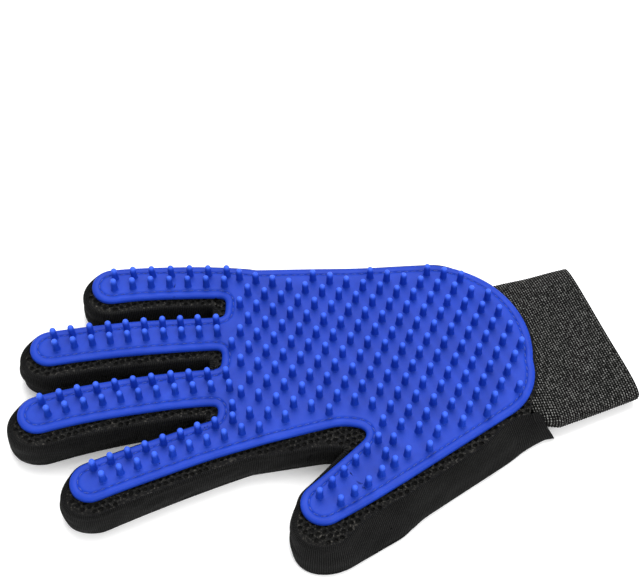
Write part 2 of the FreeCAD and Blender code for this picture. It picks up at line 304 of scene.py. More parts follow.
def blurred(values, sigma):
    """Values round a closed outline, smoothed over a distance in millimetres."""
    reach = int(4 * sigma / STEP)
    k = np.arange(-reach, reach + 1)
    weight = np.exp(-0.5 * (k * STEP / sigma) ** 2)
    weight /= weight.sum()
    return sum(w * np.roll(values, -i, axis=0) for i, w in zip(k, weight))


def rounded(loop, corner):
    """Resampled outline, a little smoothed, with its sharp inner corners smoothed over a distance."""
    loop = resample(loop)
    reach, sharp_turn = 3, -0.5     # points each way, and radians
    ahead, back = np.roll(loop, -reach, axis=0) - loop, loop - np.roll(loop, reach, axis=0)
    turn = np.arctan2(back[:, 0] * ahead[:, 1] - back[:, 1] * ahead[:, 0], (ahead * back).sum(1))
    sharp = (turn < sharp_turn).astype(float)
    mask = np.clip(blurred(sharp, 1.6 * corner) * 4.0, 0, 1)[:, None]
    smooth = blurred(loop, 0.9) * (1 - mask) + blurred(loop, corner) * mask
    return resample(smooth)


def normals_of(loop):
    """Outward unit normals of an anticlockwise outline."""
    along = np.roll(loop, -2, axis=0) - np.roll(loop, 2, axis=0)
    along /= np.linalg.norm(along, axis=1)[:, None]
    return blurred(np.c_[along[:, 1], -along[:, 0]], 0.7)


def inside(loop, points, margin=0.0):
    """Which points lie inside a loop, and further than a margin from its points."""
    x, y = points[:, 0], points[:, 1]
    found = np.zeros(len(points), bool)
    gap = np.full(len(points), 1e9)
    for (x0, y0), (x1, y1) in zip(loop, np.roll(loop, -1, axis=0)):
        crosses = (y0 > y) != (y1 > y)
        if crosses.any():
            found ^= crosses & (x < (x1 - x0) * (y - y0) / (y1 - y0 + 1e-12) + x0)
        gap = np.minimum(gap, (x - x0) ** 2 + (y - y0) ** 2)
    return found & (gap > margin * margin)


def noise(points, scale, seed, octaves=2):
    """Smooth noise of about -1 to 1 over points: waves in random directions, a scale in mm long."""
    source = np.random.default_rng(seed)
    total = np.zeros(len(points))
    for octave in range(octaves):
        size = scale / 2 ** octave
        for _ in range(6):
            direction = source.normal(size=points.shape[1])
            direction /= np.linalg.norm(direction)
            wave = points @ direction * math.tau / (size * source.uniform(0.8, 1.5))
            total += np.sin(wave + source.uniform(0, 6.28)) / 2.4 / 2 ** octave
    return total


pad_digits = [digit_polygon(d) for d in DIGITS]
body_digits = [digit_polygon(d, d.near, d.far) for d in DIGITS]
pad_loop = rounded(outer_loop([polygon(PAD_PALM)] + pad_digits), 2.0)
body_loop = rounded(outer_loop([polygon(BODY_PALM)] + body_digits), 1.0)
pad_normal = normals_of(pad_loop)
body_normal = normals_of(body_loop)


# ---- pieces and the bodies they follow
class Piece:
    """One stretch of the glove between joints, named after its body, and how it bends at its root."""

    def __init__(self, body, parent=None, digit=None, joint=None, fold=None):
        self.name, self.body, self.parent, self.digit, self.joint = body, body, parent, digit, joint
        if digit:
            before, after = fold
            self.start_station, self.end_station = joint + before, joint - after
            self.cut = joint + before + CUT_MARGIN
            self.axis = digit.at(joint)
            ahead = digit.at(joint - 1.0) - self.axis
            self.ahead = ahead / np.linalg.norm(ahead)

    def station(self, points):
        """Stations of plan points, measured straight along the digit from its joint."""
        return self.joint - (points - self.axis) @ self.ahead

    def follow(self, obj):
        """Make a layer or a group of pins ride on the palm; on a digit, bake its placement into its mesh."""
        if self.digit:
            self.blend(obj, self.start_station, self.end_station)
        else:
            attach(obj, self.body)

    def blend(self, obj, start_station, end_station):
        """Bake an object's placement into its mesh; the start and end stations are not used."""
        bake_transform(obj)


PALM = Piece("palm")
PIECES = [PALM]
for d in DIGITS:
    parent = "palm"
    for part, joint, fold in zip(["base", "tip"][-len(d.joints):], d.joints, d.fold):
        PIECES.append(Piece(f"{d.name}_{part}", parent, d, joint, fold))
        parent = PIECES[-1].body


def piece_index(points):
    """Which piece each plan point belongs to."""
    result = np.zeros(len(points), int)
    nearest = np.full(len(points), 1e9)
    for d in DIGITS:
        station, offset = d.locate(points)
        reach = np.where(offset > 0, *(THUMB_REACH if d.name == "thumb" else FINGER_REACH))
        own = [i for i, piece in enumerate(PIECES) if piece.digit is d]
        aside = np.abs(offset)
        within = (station < PIECES[own[0]].cut) & (station > -TIP_REACH) & (aside < reach)
        take = within & (aside < nearest)
        nearest[take] = aside[take]
        result[take] = own[0]
        for index in own[1:]:
            result[take & (station < PIECES[index].cut)] = index
    return result


def vertex_normals(verts, faces):
    """Normals of the vertices: those of the faces round them, weighted by area."""
    normal = np.zeros_like(verts)
    for block in faces:
        a, b, c, last = (verts[block[:, corner]] for corner in (0, 1, 2, -1))
        area = np.cross(c - a, last - b)
        for corner in block.T:
            np.add.at(normal, corner, area)
    return normal / np.maximum(np.linalg.norm(normal, axis=1), 1e-12)[:, None]


def add_object(name, data):
    obj = bpy.data.objects.new(name, data)
    bpy.context.scene.collection.objects.link(obj)
    return obj


def mesh_object(name, verts, faces, slot, normal=None, uv=None):
    """Mesh object in metres from plan millimetres, with its rest place and its pattern coordinates."""
    placed = (verts - [*SHIFT, 0]) * MM
    mesh = bpy.data.meshes.new(name)
    mesh.from_pydata(placed.tolist(), [], [list(map(int, f)) for block in faces for f in block])
    mesh.attributes.new("rest", "FLOAT_VECTOR", "POINT").data.foreach_set("vector", placed.ravel())
    if uv is not None:
        layer = mesh.uv_layers.new(name="pattern")
        index = np.empty(len(mesh.loops), int)
        mesh.loops.foreach_get("vertex_index", index)
        layer.data.foreach_set("uv", uv[index].ravel())
    mesh.polygons.foreach_set("use_smooth", np.ones(len(mesh.polygons), bool))
    mesh.materials.append(MATERIALS[slot])
    obj = add_object(name, mesh)
    if normal is not None:
        mesh.normals_split_custom_set_from_vertices(normal.tolist())
    return obj


def open_ends(blocks):
    """Loops of vertices round the openings of a mesh, to close it with."""
    edges = np.concatenate([np.stack([b, np.roll(b, -1, 1)], 2).reshape(-1, 2) for b in blocks])
    pairs, uses = np.unique(np.sort(edges, 1), axis=0, return_counts=True)
    beside = {}
    for a, b in pairs[uses == 1].tolist():
        beside.setdefault(a, []).append(b)
        beside.setdefault(b, []).append(a)
    loops = []
    for start in sorted(beside):
        walk = [start]
        while beside[walk[-1]]:
            here = walk[-1]
            following = beside[here].pop()
            beside[following].remove(here)
            if following in walk:
                at = walk.index(following)
                if len(walk) - at > 2:
                    loops.append(walk[at:])
                walk = walk[:at + 1]
            else:
                walk.append(following)
    return loops


def split(layer, verts, faces, slot, uv=None, palm_nodes=None):
    """One closed object per piece from the mesh of a whole layer, in place of the CAD node of its name.
    The palm's may stand for other nodes. Their edges meet with one normal."""
    faces = [np.asarray(block, int) for block in faces if len(block)]
    normal = vertex_normals(verts, faces)
    owners = [piece_index(verts[block][:, :, :2].mean(1)) for block in faces]
    made = []
    for index, piece in enumerate(PIECES):
        own = [block[owner == index] for block, owner in zip(faces, owners)]
        own = [block for block in own if len(block)]
        if not own:
            continue
        used = np.unique(np.concatenate([block.ravel() for block in own]))
        renumber = np.zeros(len(verts), int)
        renumber[used] = np.arange(len(used))
        blocks = [renumber[block] for block in own]
        name = f"{piece.name}_{layer}"
        obj = mesh_object(name, verts[used], blocks + [open_ends(blocks)], slot, normal[used],
                          None if uv is None else uv[used])
        piece.follow(obj)
        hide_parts(*(palm_nodes if palm_nodes and piece is PALM else (name,)))
        made.append(obj)
    return made


# ---- surfaces
def strip_faces(rows, columns, closed_rows, closed_columns, base=0):
    """Quads of a grid of points, row by row."""
    row = np.arange(rows if closed_rows else rows - 1)
    column = np.arange(columns if closed_columns else columns - 1)
    r, c = np.meshgrid(row, column, indexing="ij")
    r, c = r.ravel(), c.ravel()
    r2, c2 = (r + 1) % rows, (c + 1) % columns
    return base + np.c_[r * columns + c, r * columns + c2, r2 * columns + c2, r2 * columns + c]


def rings(loop, normal, profile):
    """Points of a profile of (offset, height) carried round a loop; both may vary round it."""
    count = len(loop)
    points = np.empty((len(profile), count, 3))
    for row, (offset, height) in enumerate(profile):
        points[row, :, :2] = loop + normal * np.broadcast_to(offset, (count,))[:, None]
        points[row, :, 2] = height
    return points


def honeycomb(low, high, pitch, turn=0.0):
    """Points of a hexagonal grid that covers a box."""
    middle, reach = (low + high) / 2, np.linalg.norm(high - low) / 2 + pitch
    n = int(reach / pitch) + 2
    i, j = np.meshgrid(np.arange(-n, n + 1), np.arange(-int(n * 1.2), int(n * 1.2) + 1))
    x, y = (i + (j % 2) / 2) * pitch, j * pitch * math.sqrt(3) / 2
    c, s = math.cos(turn), math.sin(turn)
    points = np.c_[(x * c - y * s).ravel(), (x * s + y * c).ravel()] + middle
    return points[((points > low) & (points < high)).all(1)]


def numbered(plan, faces):
    """Triangles of closed loops, numbered by the plan's points, and any points where loops cross."""
    verts, tris, sources, origins = triangulate(plan, faces)
    number, extra = [], []
    for vert, source in zip(verts, sources):
        number.append(source[0] if source else len(plan) + len(extra))
        if not source:
            extra.append(vert)
    return [[number[i] for i in tri] for tri in tris], origins, np.array(extra).reshape(-1, 2)


def filled(loop, pitch):
    """Triangles inside a loop, numbered by its points and then those of an inner grid."""
    grid = honeycomb(loop.min(0), loop.max(0), pitch)
    grid = grid[inside(loop, grid, 0.6 * pitch)]
    tris, origins, extra = numbered(np.concatenate([loop, grid]), [list(range(len(loop)))])
    kept = np.array([tri for tri, origin in zip(tris, origins) if origin])
    middles = np.concatenate([loop, grid, extra])[kept].mean(1)
    return np.concatenate([grid, extra]), kept[inside(loop, middles)]


def slab(loop, normal, profile, pitch, relief=0.0):
    """Closed sheet: a profile round its edge, with flat faces inside the first and last rings."""
    points = rings(loop, normal, profile)
    rows, count = points.shape[:2]
    grid, tris = filled(points[-1, :, :2], pitch)
    top = np.c_[grid, np.full(len(grid), profile[-1][1])]
    top[:, 2] += relief * noise(grid, 22.0, 3)
    bottom = np.c_[grid, np.full(len(grid), profile[0][1])]
    verts = np.concatenate([points.reshape(-1, 3), top, bottom])
    last, first_grid = (rows - 1) * count, rows * count
    upper = np.where(tris < count, tris + last, tris - count + first_grid)
    lower = np.where(tris < count, tris, tris - count + first_grid + len(grid))
    quads = strip_faces(rows, count, False, True)
    return verts, [quads, upper, lower[:, ::-1]]


def settle(verts):
    """The slow unevenness of soft layers: nothing at the table, most at the top."""
    rise = np.clip(verts[:, 2] / Z_PAD, 0, 1) ** 2
    moved = verts.copy()
    moved[:, 2] += SAG * rise * noise(verts[:, :2], 75.0, 11)
    return moved


# ---- materials
class Shader:
    """A node material: helpers that add a node and link it."""

    def __init__(self, name, **values):
        self.material = bpy.data.materials.new(name)
        self.material.use_nodes = True
        self.tree = self.material.node_tree
        self.principled = self.tree.nodes["Principled BSDF"]
        for socket, value in values.items():
            self.principled.inputs[socket.replace("_", " ")].default_value = value

    def node(self, kind, inputs=None, **settings):
        made = self.tree.nodes.new("ShaderNode" + kind)
        for key, value in settings.items():
            setattr(made, key, value)
        for key, value in (inputs or {}).items():
            if isinstance(value, bpy.types.NodeSocket):
                self.tree.links.new(value, made.inputs[key])
            else:
                made.inputs[key].default_value = value
        return made

    def link(self, socket, name):
        self.tree.links.new(socket, self.principled.inputs[name])

    def place(self):
        """Rest coordinates in millimetres, so that a pattern stays put as the glove bends."""
        rest = self.node("Attribute", attribute_name="rest")
        return self.node("VectorMath", {0: rest.outputs["Vector"], 1: (1000, 1000, 1000)},
                         operation="MULTIPLY").outputs[0]

    def cloth(self):
        """Pattern coordinates on a piece of cloth, in millimetres."""
        return self.node("UVMap", uv_map="pattern").outputs[0]

    def math(self, operation, a, b=0.0, c=0.0):
        return self.node("Math", {0: a, 1: b, 2: c}, operation=operation).outputs[0]

    def times(self, a, b):
        return self.math("MULTIPLY", a, b)

    def times_plus(self, a, b, c):
        return self.math("MULTIPLY_ADD", a, b, c)

    def noise(self, vector, scale, detail=2.0, rough=0.5):
        return self.node("TexNoise", {"Vector": vector, "Scale": scale, "Detail": detail,
                                      "Roughness": rough}).outputs[0]

    def ramp(self, factor, stops):
        """Colour by a factor, from stops that each have a position and a colour or one grey."""
        made = self.node("ValToRGB", {0: factor})
        band = made.color_ramp
        while len(band.elements) < len(stops):
            band.elements.new(0.5)
        for element, (position, colour) in zip(band.elements, stops):
            element.position = position
            element.color = (*np.broadcast_to(colour, 3), 1)
        return made.outputs[0]

    def colour(self, factor, stops):
        self.link(self.ramp(factor, stops), "Base Color")

    def bump(self, height, distance, strength=1.0):
        made = self.node("Bump", {"Height": height, "Distance": distance, "Strength": strength})
        self.link(made.outputs[0], "Normal")


def silicone():
    m = Shader("silicone", Roughness=0.5, Specular_IOR_Level=0.16, Subsurface_Weight=0.06,
               Subsurface_Scale=0.004, Subsurface_Radius=(0.2, 0.3, 1.0))
    place = m.place()
    cloud = m.noise(place, 0.09, 3.0)
    # Painted highlight: the tips of the pins are coloured lighter than the rest, for the light that falls on
    # their tops.
    height = m.node("SeparateXYZ", {0: place}).outputs[2]
    tip = m.node("MapRange", {0: height, 1: Z_TOP + 4.2, 2: Z_TOP + 6.3}).outputs[0]
    shade = m.times_plus(tip, 0.5, m.times(cloud, 0.5))
    m.colour(shade, [(0.15, (0.0060, 0.035, 0.345)), (0.35, (0.0095, 0.047, 0.425)),
                     (0.75, (0.040, 0.115, 0.70))])
    grain = m.noise(place, 5.0, 3.0, 0.6)
    m.link(m.times_plus(grain, 0.16, 0.42), "Roughness")
    m.bump(m.math("ADD", m.times(grain, 0.35), m.noise(place, 0.7)), 0.00012, 0.6)
    return m.material


def thread():
    m = Shader("stitching", Roughness=0.55, Sheen_Weight=0.2)
    place = m.place()
    m.colour(m.noise(place, 1.5), [(0.35, (0.008, 0.030, 0.24)), (0.65, (0.030, 0.080, 0.50))])
    twist = m.node("TexWave", {"Vector": place, "Scale": 0.8, "Distortion": 2.0}, bands_direction="DIAGONAL")
    m.bump(twist.outputs[1], 0.0001)
    return m.material


def spacer_mesh():
    m = Shader("spacer_mesh", Roughness=0.75, Specular_IOR_Level=0.12, Sheen_Weight=0.03,
               Sheen_Roughness=0.5)
    place = m.place()
    yarn = m.noise(place, 1.25, 4.0, 0.75)
    # Light flecks in the yarn's colour: partly its own tone, partly painted sheen.
    specks_and_sheen = m.ramp(yarn, [(0.40, 0.0012), (0.52, (0.0060, 0.0059, 0.0055)),
                          (0.60, (0.026, 0.025, 0.022)), (0.72, (0.13, 0.12, 0.105))])
    height = m.node("SeparateXYZ", {0: place}).outputs[2]
    # Painted shade: the inside of the holes is coloured darker towards their floor, for the shade in the
    # pits.
    painted_pit_shade = m.node("MapRange", {0: height, 1: Z_MESH + 0.4, 2: Z_MESH + 1.2, 3: 0.08, 4: 1.0}).outputs[0]
    dark = m.node("Mix", {0: painted_pit_shade, 6: (0.0008, 0.0008, 0.0008, 1), 7: specks_and_sheen}, data_type="RGBA")
    m.link(dark.outputs[2], "Base Color")
    m.bump(m.math("ADD", yarn, m.noise(place, 6.0)), 0.00025)
    return m.material


def knit():
    m = Shader("knit_fabric", Roughness=0.9, Specular_IOR_Level=0.06, Sheen_Weight=0.02,
               Sheen_Roughness=0.45)
    cloth, place = m.cloth(), m.place()
    part = m.node("SeparateXYZ", {0: cloth})
    wale = m.math("SINE", m.times(part.outputs[0], math.tau / WALE_PITCH))
    course = m.math("SINE", m.times_plus(part.outputs[1], math.tau / COURSE_PITCH, m.times(wale, 0.9)))
    fuzz = m.noise(place, 3.4, 4.0, 0.7)
    stitch = m.times_plus(course, 0.35, wale)
    cloud = m.times(m.noise(place, 0.07), 0.25)
    shade = m.times_plus(stitch, 0.16, m.times_plus(fuzz, 0.9, cloud))
    m.colour(shade, [(0.30, 0.0006), (0.58, 0.0042), (0.85, (0.022, 0.022, 0.0215))])
    m.bump(m.times_plus(stitch, 0.5, fuzz), 0.00016)
    return m.material


def woven_elastic():
    m = Shader("woven_elastic", Roughness=0.8, Specular_IOR_Level=0.05, Sheen_Weight=0.01,
               Sheen_Roughness=0.4)
    cloth, place = m.cloth(), m.place()
    part = m.node("SeparateXYZ", {0: cloth})
    along, across = part.outputs[0], part.outputs[1]
    rib = m.math("SINE", m.times(along, math.tau / RIB_PITCH))
    row = m.math("FLOOR", m.math("DIVIDE", along, RIB_PITCH))
    stagger = m.times(row, 0.37 * math.tau)
    yarn = m.math("SINE", m.times_plus(across, math.tau / YARN_PITCH, stagger))
    flecks_and_glints = m.noise(place, 1.2, 3.0, 0.7)
    shade = m.times_plus(rib, 0.13, m.times_plus(yarn, 0.11, flecks_and_glints))
    # The lightest stop gives bright specks: partly light flecks of the yarn, partly painted glints.
    m.colour(shade, [(0.36, 0.0012), (0.50, (0.0075, 0.0075, 0.0072)), (0.62, (0.040, 0.040, 0.038)),
                     (0.78, (0.25, 0.25, 0.24))])
    m.bump(m.times_plus(yarn, 0.5, m.times(flecks_and_glints, 0.8)), 0.0003)
    return m.material


MATERIALS = {
    "silicone_pad": silicone(), "stitching_thread": thread(), "spacer_mesh": spacer_mesh(),
    "knit_fabric": knit(), "woven_elastic": woven_elastic(),
}


# ---- pad
def make_pad():
    """Moulded silicone sheet: rounded rim, stitch groove, and a slightly uneven field inside."""
    run = np.arange(len(pad_loop)) * STEP
    pull = 0.5 + 0.5 * np.cos(math.tau * run / STITCH_PITCH)
    wave = 0.07 * noise(np.c_[run, run * 0], 14.0, 5)
    # Offset from the outline and height: under the rim, over it, through the groove, and to the field.
    profile = [
        (-4.9, 12.95), (-2.4, 12.95), (-0.5, 12.95), (-0.12, 13.1), (0.0, 13.4), (0.0, 13.9),
        (-0.12, 14.35), (-0.42, 14.74), (-0.9, 14.98 + wave), (-1.5, 15.09 + wave),
        (-2.1, 15.08 + wave), (-2.6, 14.98), (-2.9, 14.84), (-3.08, 14.62 - 0.1 * pull),
        (-THREAD_INSET, 14.55 - 0.16 * pull), (-3.34, 14.68 - 0.1 * pull), (-3.6, 14.88), (-4.1, 15.0),
        (-4.9, 15.0),
    ]
    verts, faces = slab(pad_loop, pad_normal, profile, pitch=1.9, relief=0.10)
    split("pad", settle(verts), faces, "silicone_pad")


def repeated(faces, size, count):
    """Faces of a small mesh, again for each of its copies."""
    return np.concatenate([faces + size * k for k in range(count)])


def make_stitches():
    """Short threads lying in the groove, each a little aslant."""
    length, place = measured(pad_loop - pad_normal * THREAD_INSET)
    count = int(length / STITCH_PITCH)
    pitch = length / count
    rows, sides = 7, 6
    t = np.linspace(0, 1, rows)
    radius = THREAD_RADIUS * np.sqrt(np.clip(1 - (2 * t - 1) ** 4, 0.05, 1))
    height = THREAD_LEVEL + 0.20 * np.sin(math.pi * t)
    angle = circle_angles(sides)
    threads = np.empty((count, rows, sides, 3))
    for k, around in enumerate(threads):
        centre = place(k * pitch + STITCH_GAP / 2 + t * (pitch - STITCH_GAP))
        along = centre[-1] - centre[0]
        along /= np.linalg.norm(along)
        side = np.array([-along[1], along[0]])
        centre = centre + side * ((t - 0.5) * STITCH_SLANT + rng.uniform(-0.05, 0.05))[:, None]
        around[:, :, :2] = centre[:, None] + side * (radius[:, None] * np.cos(angle))[:, :, None]
        around[:, :, 2] = height[:, None] + radius[:, None] * np.sin(angle)
    size = rows * sides
    threads = settle(threads.reshape(-1, 3)).reshape(count, size, 3)
    owner = piece_index(threads.mean(1)[:, :2])
    one = strip_faces(rows, sides, False, True)[:, ::-1]
    for index, piece in enumerate(PIECES):
        own = threads[owner == index]
        name = f"{piece.name}_stitching"
        faces = [repeated(one, size, len(own))]
        obj = mesh_object(name, own.reshape(-1, 3), faces, "stitching_thread")
        piece.follow(obj)
        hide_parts(name)


def pin_places():
    """The digits' own pins, and those of the palm's lattice that are clear of them and of the rim."""
    own = np.array([p for d in DIGITS for p in d.pins()])
    steps = np.arange(-14, 15)
    i, j = np.meshgrid(steps, steps)
    points = (np.array(LATTICE_PIN) + i.ravel()[:, None] * np.array(LATTICE_STEP_A)
              + j.ravel()[:, None] * np.array(LATTICE_STEP_B))
    points = points[inside(pad_loop, points, PIN_MARGIN)]
    points = points[piece_index(points) == 0]
    gap = np.linalg.norm(points[:, None] - own[None], axis=2).min(1)
    return np.concatenate([own, points[gap > PIN_SPACING]])


def pin_points(x, y):
    """One lathed pin, with a flared foot, leaning very slightly."""
    angle = circle_angles(PIN_SIDES)
    lean = rng.normal(0, 0.10, 2)
    points = []
    for radius, height in PIN_PROFILE:
        rise = max(0.0, height) / PIN_HEIGHT
        ring = np.c_[x + lean[0] * rise + radius * np.cos(angle),
                     y + lean[1] * rise + radius * np.sin(angle), np.full(PIN_SIDES, Z_TOP + height)]
        points.append(ring if radius else ring.mean(0)[None])
    return np.concatenate(points)


def pin_faces():
    """Faces of one pin: quads round it, and a fan at each end."""
    rows = len(PIN_PROFILE) - 2
    quads = strip_faces(rows, PIN_SIDES, False, True, 1)
    k = np.arange(PIN_SIDES)
    last = 1 + rows * PIN_SIDES
    bottom = np.c_[np.zeros(PIN_SIDES, int), 1 + (k + 1) % PIN_SIDES, 1 + k]
    top = np.c_[np.full(PIN_SIDES, last), last - PIN_SIDES + k, last - PIN_SIDES + (k + 1) % PIN_SIDES]
    return [quads, np.concatenate([bottom, top])]


def pins_object(name, places):
    """One mesh of the pins at some places."""
    pins = [pin_points(x, y) for x, y in places]
    faces = [repeated(block, len(pins[0]), len(pins)) for block in pin_faces()]
    return mesh_object(name, settle(np.concatenate(pins)), faces, "silicone_pad")


def make_pins():
    """Pins in one mesh per piece; a pin inside a bend is its own mesh."""
    points = pin_places()
    owner = piece_index(points)
    for index, piece in enumerate(PIECES):
        own = points[owner == index]
        if not piece.digit:
            piece.follow(pins_object(f"{piece.name}_pins", own))
            continue
        station = piece.station(own)
        bend = piece.start_station - piece.end_station
        share = np.clip((piece.start_station - station) / bend, 0, 1)
        whole = share > RIGID_SHARE
        if whole.any():
            piece.follow(pins_object(f"{piece.name}_pins", own[whole]))
        bent = zip(own[~whole], station[~whole], share[~whole])
        for k, (place, at, part) in enumerate(bent):
            obj = pins_object(f"{piece.name}_bend_pin_{k + 1}", [place])
            piece.blend(obj, at + part * LONG_BEND, at - (1 - part) * LONG_BEND)


# ---- fabric of the body
def near_side(start, end):
    """1 on the thumb's side, where the wall faces -Y between two places along X, easing to 0 at them."""
    x, y = body_loop.T
    side = ((y < x * 0.7 - 40) | ((x > 20) & (y < -8))) & (body_normal[:, 1] < -0.3)
    return np.clip((x - start) / 8, 0, 1) * np.clip((end - x) / 6, 0, 1) * side


def outward_lean():
    """How far the foot of the side wall stands outside its top, round the body."""
    facing = np.clip(-body_normal[:, 1], 0, 1) ** 0.5
    tips = np.clip(-body_normal[:, 0], 0, 1) * (body_loop[:, 0] < -60)
    thumb = near_side(-14, 34) * facing
    palm_side = near_side(24, 80)
    return blurred(np.clip(4.0 * thumb + 1.6 * palm_side + 0.5 * tips, 0, 4.2), 3.5)


def inward_tuck():
    """How far the top of the side wall is drawn in towards the pad, along the thumb and the heel."""
    pad_gap = np.array([np.linalg.norm(pad_loop - point, axis=1).min() for point in body_loop])
    heel = np.clip(pad_gap - 3.5, 0, 9) * near_side(62, 96)
    return blurred(np.maximum(3.9 * near_side(8, 96), heel), 4.0)


def freedom():
    """0 where the wall faces another across a narrow slot, and 1 where it can bulge freely."""
    step = body_loop[None] - body_loop[:, None]
    ahead = (step * body_normal[:, None]).sum(2)
    aside = np.abs(step[:, :, 0] * body_normal[:, 1, None] - step[:, :, 1] * body_normal[:, 0, None])
    gap = np.where((ahead > 0.2) & (aside < 1.5), ahead, 50.0).min(1)
    return blurred(np.clip((gap - 1.4) / 5.0, 0, 1), 1.5)


LEAN = outward_lean()
TUCK = inward_tuck()
FREE = freedom()


def wall_path():
    """Outline points of the side wall, from the far end of the cuff's seam round the digits to the near."""
    start, end = (np.linalg.norm(body_loop - seam, axis=1).argmin() for seam in (SEAM_FAR, SEAM_NEAR))
    count = len(body_loop)
    return (start + np.arange((end - start) % count + 1)) % count


PALM_WALLS = ("gusset_little_side", "gusset_thumb_side", "gusset_index_side", "gusset_finger_crotches")


def make_gusset():
    """Knit side wall: a rolled lip beside the mesh, a soft wall, and its turned-in hem."""
    order = wall_path()
    loop, normal, lean, free = body_loop[order], body_normal[order], LEAN[order], FREE[order]
    heading = np.array([math.cos(CUFF_ANGLE + 0.06), math.sin(CUFF_ANGLE + 0.06)])
    extra = np.arange(1, TAIL_POINTS + 1)[:, None] * STEP
    loop = np.concatenate([loop, loop[-1] + extra * heading])
    normal = np.concatenate([normal, np.tile([heading[1], -heading[0]], (TAIL_POINTS, 1))])
    lean = np.concatenate([lean, np.linspace(lean[-1], 1.0, TAIL_POINTS)])
    tuck = np.concatenate([TUCK[order], np.full(TAIL_POINTS, TUCK[order][-1])])
    free = np.concatenate([free, np.ones(TAIL_POINTS)])
    count = len(loop)
    run = run_along(loop)
    left = np.clip(-normal[:, 0], 0, 1)
    lip = 0.85 + 0.30 * left
    tail = np.clip((run - run[-1] + 12.0) / 12.0, 0, 1)
    tip = left ** 2 * (loop[:, 0] < 12)
    tip = np.convolve(tip, np.ones(21) / 21, mode="same")

    outer = [(-1.75 * lip, 12.3), (-1.85 * lip, 12.65), (-1.65 * lip, 13.05), (-1.25 * lip, 13.45),
             (-0.75 * lip, 13.6 + 0.15 * left), (-0.3 * lip, 13.45 + 0.1 * left), (0.05, 13.0),
             (0.22, 12.3)]
    for z in np.linspace(WALL_TOP, WALL_FOOT, 15):
        t = (z - WALL_FOOT) / (WALL_TOP - WALL_FOOT)
        bulge = 0.5 * math.sin(math.pi * t) ** 0.8 if 0 < t < 1 else 0.0
        crease = -0.75 * np.exp(-((z - 6.6 - 0.8 * np.sin(run / 9.0)) / 0.75) ** 2) * tip
        ripple = 0.22 * noise(np.c_[run, np.full(count, 2.0 * z)], 17.0, 21)
        outer.append(((0.22 + bulge + crease + ripple) * free, z))
    outer += [(0.12 * free, 0.95), (-0.25, 0.5), (-0.9, 0.3)]
    inner = [(-1.35, 1.25)] + [(-1.0, z) for z in (2.5, 5.0, 8.0, 10.5)] + [(-1.25, 11.7)]
    profile = []
    for offset, z in outer + inner:
        drawn = np.clip(z / Z_PAD, 0, 1)
        profile.append((offset + (lean * free * (1 - drawn) ** 0.9 - tuck * drawn ** 1.3), z))
    rows = len(profile)
    points = rings(loop, normal, profile)
    for ring, (_, z) in zip(points, profile):
        ring[:, :2] += heading * (tail * 5.0 * np.clip(1 - z / 12.0, 0, 1))[:, None]
    # The profile runs down the outside and up the inside, so its quads are turned round.
    faces = [strip_faces(rows, count, True, False)[:, ::-1]]
    middles = []
    for k, end in enumerate((0, count - 1)):
        ring = np.arange(rows) * count + end
        fan = np.c_[np.full(rows, rows * count + k), ring, np.roll(ring, -1)]
        faces.append(fan if k else fan[:, ::-1])
        middles.append(points[:, end].mean(0))
    verts = np.concatenate([points.reshape(-1, 3), middles])
    uv = np.c_[np.tile(run, rows), np.repeat(run_along(points[:, 0]), count)]
    uv = np.concatenate([uv, np.zeros((len(middles), 2))])
    return split("gusset", settle(verts), faces, "knit_fabric", uv, PALM_WALLS)


def make_back():
    """Knit back panel, cut to the foot of the side wall, with a soft rounded edge."""
    foot = body_loop + body_normal * (LEAN * FREE)[:, None]
    normal = normals_of(foot)
    profile = [(-1.6, 0.0), (-0.5, 0.02), (-0.08, 0.2), (0.05, 0.55), (-0.1, 0.95), (-0.5, 1.15),
               (-1.6, Z_BACK)]
    verts, faces = slab(foot, normal, profile, pitch=2.2)
    return split("back", verts, faces, "knit_fabric", verts[:, :2], ("back_panel",))


def mesh_outline():
    """Outline of the mesh panel: just inside the wall, and a little outside the pad at the heel."""
    heel = resample(polygon(PAD_PALM)[::-1])
    heel = heel + normals_of(heel) * HEEL_BORDER
    order = wall_path()
    tucked = body_loop[order] - body_normal[order] * (1.3 + TUCK[order])[:, None]
    tucked = tucked[~inside(heel, tucked) | (tucked[:, 0] < 30)]
    turned = np.roll(heel, -int(np.argmin(heel[:, 1])), axis=0)
    outside = ~inside(body_loop, turned) & (turned[:, 0] > 50)
    return rounded(np.concatenate([tucked, turned[outside]]), 0.9)


